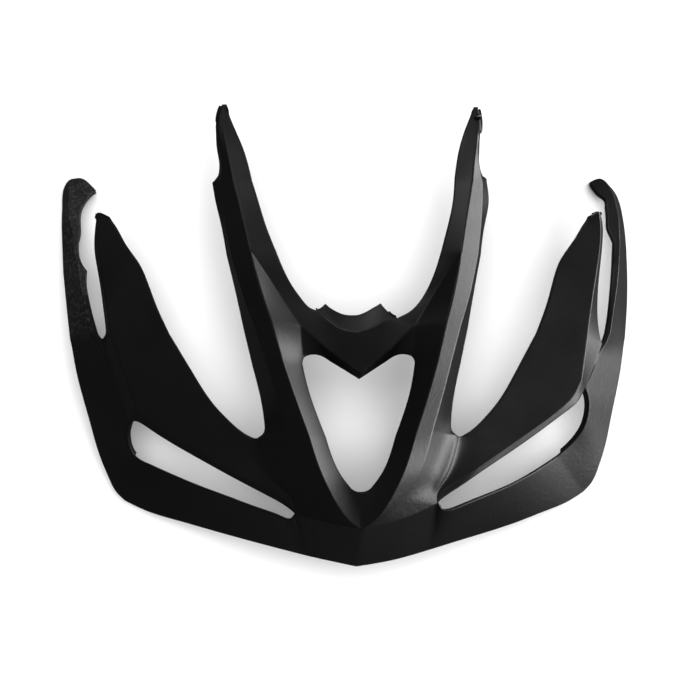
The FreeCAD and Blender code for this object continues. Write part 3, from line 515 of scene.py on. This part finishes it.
class Shell:
    """The closed moulding: the skin with its edges rounded, its underside, and one piece for each member."""

    def __init__(self, skin):
        self.top = np.array(skin.points)
        self.count = len(self.top)
        self.faces = skin.faces
        self.members = skin.members
        self.falls = skin.falls
        self.uses = edge_uses(self.faces)
        self.pairs = neighbour_pairs(self.uses)
        self.rim = [(a, b, f) for uses in self.uses.values() if len(uses) == 1 for f, a, b in uses]
        self.on_rim = np.zeros(self.count, bool)
        self.on_rim[[a for a, b, f in self.rim]] = True

    def soften(self, line, radius, strength, rounds):
        """Draws the height of the skin near a line, on both sides, towards its surroundings."""
        weight = np.zeros(self.count)
        for side in (RIGHT, LEFT):
            near = np.full(self.count, 1e9)
            for p in along(line, 24):
                near = np.minimum(near, np.linalg.norm(self.top - p * (side, 1, 1), axis=1))
            weight = np.maximum(weight, strength * np.clip(1.5 - near / radius, 0, 1))
        weight[self.on_rim] = 0
        self.top[:, 2:3] = averaged(self.top[:, 2:3], self.pairs, rounds, weight[:, None])

    def round_edges(self):
        """Draws the free edges in by the radius of their rounding, less where the moulding is narrow."""
        normal = vertex_normals(self.top, self.faces)
        outward = np.zeros_like(self.top)
        for a, b, f in self.rim:
            t = unit(self.top[b] - self.top[a])
            outward[a] += np.cross(t, normal[a])
            outward[b] += np.cross(t, normal[b])
        rim = np.flatnonzero(self.on_rim)
        outward[rim] = unit(outward[rim] - np.sum(outward[rim] * normal[rim], axis=1)[:, None] * normal[rim])
        radius = np.zeros(self.count)
        for i in rim:
            step = self.top[rim] - self.top[i]
            reach = np.linalg.norm(step, axis=1)
            facing = (step @ outward[i] < -0.5 * reach) & (reach > 0.4)
            width = reach[facing].min() if facing.any() else 1e9
            radius[i] = min(EDGE_ROUND, TOP_HELD * width)
        shift = -radius[:, None] * outward
        held = self.on_rim[:, None]
        for _ in range(20):
            shift = np.where(held, shift, averaged(shift, self.pairs, 1))
        self.top += shift
        self.outward, self.radius = outward, radius

    def close(self):
        """Adds the rounded edges and the underside, and works out a smooth normal for every vertex."""
        self.normal = vertex_normals(self.top, self.faces)
        lean = unit(averaged(self.normal, self.pairs, 8))
        fall = -WALL * lean
        for v, own in self.falls.items():
            fall[v] = own
            lean[v] = -unit(own)
        # The underside doesn't stick out beyond a free edge, apart from the outer ends of the brim slots.
        flat = self.outward * (1, 1, 0)
        beyond = np.sum(fall * flat, axis=1) / np.maximum(np.sum(flat * flat, axis=1), 1e-6)
        x, y = np.abs(self.top[:, 0]), self.top[:, 1]
        slot_end = (x > 72) & (x < 84) & (y < -18) & (y > -41)
        beyond = np.where(self.on_rim, np.maximum(beyond, 0) * np.where(slot_end, 0.25, 0.9), 0)
        tuck = -beyond[:, None] * flat
        for _ in range(12):
            tuck = np.where(self.on_rim[:, None], tuck, averaged(tuck, self.pairs, 1))
        under = self.top + fall + tuck
        under = np.maximum(under, BOX_LOW)
        points = [self.top, under]
        self.column = {}
        total = 2 * self.count
        for i in np.flatnonzero(self.on_rim):
            r, out = self.radius[i], self.outward[i]
            ring = [i]
            extra = []
            for k in range(1, ARC_STEPS + 1):
                turn = 0.5 * math.pi * k / ARC_STEPS
                p = self.top[i] + r * math.sin(turn) * out - r * (1 - math.cos(turn)) * self.normal[i]
                extra.append(p)
            for k in range(ARC_STEPS, 0, -1):
                turn = 0.5 * math.pi * k / ARC_STEPS
                p = under[i] + r * math.sin(turn) * out + r * (1 - math.cos(turn)) * lean[i]
                extra.append(p)
            ring += list(range(total, total + len(extra)))
            total += len(extra)
            points.append(np.array(extra))
            self.column[i] = ring + [i + self.count]
        self.points = np.clip(np.concatenate(points), BOX_LOW, BOX_HIGH)
        rim_depths = [-0.1] * ARC_STEPS + [-WALL] * ARC_STEPS
        self.depths = np.concatenate([np.zeros(self.count), np.full(self.count, -WALL),
                                      np.tile(rim_depths, int(self.on_rim.sum()))])
        self.closed = {}
        for f, member in enumerate(self.members):
            faces = self.closed.setdefault(member, [])
            faces.append(list(self.faces[f]))
            faces.append([v + self.count for v in reversed(self.faces[f])])
        for a, b, f in self.rim:
            ring_a, ring_b = self.column[a], self.column[b]
            for k in range(len(ring_a) - 1):
                self.closed[self.members[f]].append([ring_b[k], ring_a[k], ring_a[k + 1], ring_b[k + 1]])
        everything = [face for faces in self.closed.values() for face in faces]
        self.smooth = vertex_normals(self.points, everything)

    def caps(self, member):
        """Faces that close a member where it meets its neighbours."""
        caps = []
        starts, ends = set(), set()
        for a, b, f in self.rim:
            if self.members[f] == member:
                starts.add(a)
                ends.add(b)
        for uses in self.uses.values():
            if len(uses) != 2 or self.members[uses[0][0]] == self.members[uses[1][0]]:
                continue
            for f, a, b in uses:
                if self.members[f] == member:
                    caps.append([b, a, a + self.count, b + self.count])
        for v in starts - ends:
            caps.append(self.column[v][::-1])
        for v in ends - starts:
            caps.append(list(self.column[v]))
        return caps


def make_piece(shell, member, material):
    body_faces = shell.closed[member]
    faces = body_faces + shell.caps(member)
    used = sorted({v for face in faces for v in face})
    place = {v: i for i, v in enumerate(used)}
    mesh = bpy.data.meshes.new(member)
    mesh.from_pydata((shell.points[used] * MM).tolist(), [], [[place[v] for v in face] for face in faces])
    mesh.update()
    mesh.polygons.foreach_set("use_smooth", [True] * len(mesh.polygons))
    normals = []
    for polygon in mesh.polygons:
        for i in polygon.vertices:
            own = polygon.index < len(body_faces)
            normals.append(tuple(shell.smooth[used[i]]) if own else tuple(polygon.normal))
    for name, values in shell.marks.items():
        mark = mesh.attributes.new(name, "FLOAT", "POINT")
        mark.data.foreach_set("value", values[used].astype(np.float32))
    mesh.normals_split_custom_set(normals)
    mesh.materials.append(material)
    piece = bpy.data.objects.new(member + "_look", mesh)
    bpy.context.collection.objects.link(piece)
    return piece


def smoothstep(value, low, high):
    share = np.clip((value - low) / (high - low), 0, 1)
    return share * share * (3 - 2 * share)


def add_marks(shell):
    """How coarse the grain is and how scuffed the plastic is, at every point."""
    p = shell.points
    x, y = p[:, 0], p[:, 1]
    on_brim = smoothstep(-y, 50, 58) + smoothstep(np.abs(x), 70, 82) * smoothstep(-y, 0, 20)
    coarse = np.clip(on_brim, 0, 1)
    wear = smoothstep(-x, 86, 90) * smoothstep(y, -2, 4) * smoothstep(shell.depths, -0.4, -0.1)
    shell.marks = {"coarse": coarse, "wear": wear}


def node(tree, kind, **inputs):
    made = tree.nodes.new(kind)
    for name, value in inputs.items():
        socket = made.inputs[name.replace("_", " ")]
        if isinstance(value, bpy.types.NodeSocket):
            tree.links.new(value, socket)
        else:
            socket.default_value = value
    return made


def plastic(name):
    """Black moulded plastic: a fine etched grain, faint flow mottling and scuffs along the worn edge."""
    material = bpy.data.materials.new(name)
    material.use_nodes = True
    tree = material.node_tree
    shader = tree.nodes["Principled BSDF"]
    place = tree.nodes.new("ShaderNodeTexCoord").outputs["Object"]

    def noise(scale, detail, roughness=0.5):
        made = node(tree, "ShaderNodeTexNoise", Vector=place, Scale=scale, Detail=detail,
                    Roughness=roughness)
        return made.outputs["Fac"]

    def attribute(label):
        made = tree.nodes.new("ShaderNodeAttribute")
        made.attribute_name = label
        return made.outputs["Fac"]

    def ramp(value, low, high, out_low, out_high):
        made = node(tree, "ShaderNodeMapRange", Value=value)
        made.inputs["From Min"].default_value = low
        made.inputs["From Max"].default_value = high
        made.inputs["To Min"].default_value = out_low
        made.inputs["To Max"].default_value = out_high
        return made.outputs["Result"]

    def combine(operation, a, b):
        made = tree.nodes.new("ShaderNodeMath")
        made.operation = operation
        for socket, value in zip(made.inputs, (a, b)):
            if isinstance(value, bpy.types.NodeSocket):
                tree.links.new(value, socket)
            else:
                socket.default_value = value
        return made.outputs[0]

    coarse, wear = attribute("coarse"), attribute("wear")
    fine_grain = noise(1500, 2)
    grain = noise(620, 3)
    mottle = noise(35, 4)
    scratches = noise(900, 6, 0.7)

    even_part = combine("MULTIPLY", fine_grain, 0.25)
    coarse_part = combine("MULTIPLY", grain, ramp(coarse, 0, 1, 0.35, 1.0))
    height = combine("ADD", even_part, coarse_part)
    height = combine("ADD", height, combine("MULTIPLY", scratches, combine("MULTIPLY", wear, 2.5)))
    bump = node(tree, "ShaderNodeBump", Height=height, Strength=0.5, Distance=0.00016)
    tree.links.new(bump.outputs["Normal"], shader.inputs["Normal"])
    shader.inputs["Specular IOR Level"].default_value = 0.3

    rough = combine("ADD", ramp(mottle, 0.3, 0.7, 0.34, 0.42), combine("MULTIPLY", coarse, 0.05))
    rough = combine("ADD", rough, combine("MULTIPLY", wear, ramp(scratches, 0.35, 0.65, 0.0, 0.25)))
    tree.links.new(rough, shader.inputs["Roughness"])

    colour = tree.nodes.new("ShaderNodeMix")
    colour.data_type = "RGBA"
    tree.links.new(ramp(mottle, 0.25, 0.75, 0, 1), colour.inputs[0])
    colour.inputs[6].default_value = (0.0015, 0.0015, 0.0016, 1)
    colour.inputs[7].default_value = (0.003, 0.003, 0.0032, 1)
    scuffed = tree.nodes.new("ShaderNodeMix")
    scuffed.data_type = "RGBA"
    tree.links.new(combine("MULTIPLY", wear, ramp(scratches, 0.5, 0.7, 0.0, 0.8)), scuffed.inputs[0])
    tree.links.new(colour.outputs[2], scuffed.inputs[6])
    scuffed.inputs[7].default_value = (0.05, 0.05, 0.05, 1)
    tree.links.new(scuffed.outputs[2], shader.inputs["Base Color"])
    return material


def soft_light(name, place, target, size, power):
    lamp = bpy.data.lights.new(name, "AREA")
    lamp.shape = "RECTANGLE"
    lamp.size, lamp.size_y = size
    lamp.energy = power
    made = bpy.data.objects.new(name, lamp)
    made.location = place
    made.rotation_euler = (Vector(target) - Vector(place)).to_track_quat("-Z", "Y").to_euler()
    bpy.context.collection.objects.link(made)
    return made


def photo_camera():
    """The camera stands above the visor, a little in front of it and to its left."""
    yaw, pitch, roll = math.radians(5.0), math.radians(7.7), math.radians(-0.91)
    back = Vector((-math.sin(yaw), -math.sin(pitch) * math.cos(yaw), math.cos(pitch) * math.cos(yaw)))
    target = Vector((-1.38, -6, 25)) * MM
    right = (-back).cross(Vector((0, 1, 0))).normalized()
    up = right.cross(-back)
    across_picture = right * math.cos(roll) + up * math.sin(roll)
    up_picture = up * math.cos(roll) - right * math.sin(roll)
    lens = bpy.data.cameras.new("camera")
    lens.lens = 71.67
    lens.sensor_width = 36
    lens.clip_start = 0.01
    camera = bpy.data.objects.new("camera", lens)
    turn = Matrix((across_picture, up_picture, back)).transposed().to_4x4()
    camera.matrix_world = Matrix.Translation(target + 0.47 * back) @ turn
    bpy.context.collection.objects.link(camera)
    bpy.context.scene.camera = camera


def studio():
    mesh = bpy.data.meshes.new("floor")
    mesh.from_pydata([(-3, -3, 0), (3, -3, 0), (3, 3, 0), (-3, 3, 0)], [], [(0, 1, 2, 3)])
    floor = bpy.data.objects.new("floor", mesh)
    paper = bpy.data.materials.new("floor_paper")
    paper.use_nodes = True
    shader = paper.node_tree.nodes["Principled BSDF"]
    shader.inputs["Base Color"].default_value = (0.86, 0.86, 0.86, 1)
    shader.inputs["Roughness"].default_value = 0.9
    mesh.materials.append(paper)
    bpy.context.collection.objects.link(floor)
    floor.visible_glossy = False
    world = bpy.data.worlds.new("world")
    bpy.context.scene.world = world
    bpy.context.scene.view_settings.view_transform = "Standard"
    world.use_nodes = True
    world.node_tree.nodes["Background"].inputs[0].default_value = (1, 1, 1, 1)
    world.node_tree.nodes["Background"].inputs[1].default_value = 0.1
    soft_light("key", (1.1, 0.05, 0.2), (0, 0, 0.02), (1.5, 0.34), 30)
    soft_light("back", (-0.1, 0.9, 0.75), (0, 0, 0.03), (0.7, 0.35), 2.5)
    top = soft_light("top", (0, 0, 1.6), (0, 0, 0), (1.4, 1.4), 32)
    top.visible_glossy = False


BOX_LOW = np.array(cad_box[0]) / MM + BOX_MARGIN
BOX_HIGH = np.array(cad_box[1]) / MM - BOX_MARGIN
photo_camera()
studio()

shell = Shell(build_skin())
shell.soften(SADDLE_LINE, radius=5, strength=0.9, rounds=40)
shell.round_edges()
shell.close()
add_marks(shell)

material = plastic("moulding")
for member in sorted(shell.closed):
    piece = make_piece(shell, member, material)
    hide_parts(member)
    part, _, word = member.partition("_")
    if part in ("arm", "hook"):
        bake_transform(piece)
    else:
        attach(piece, "visor")
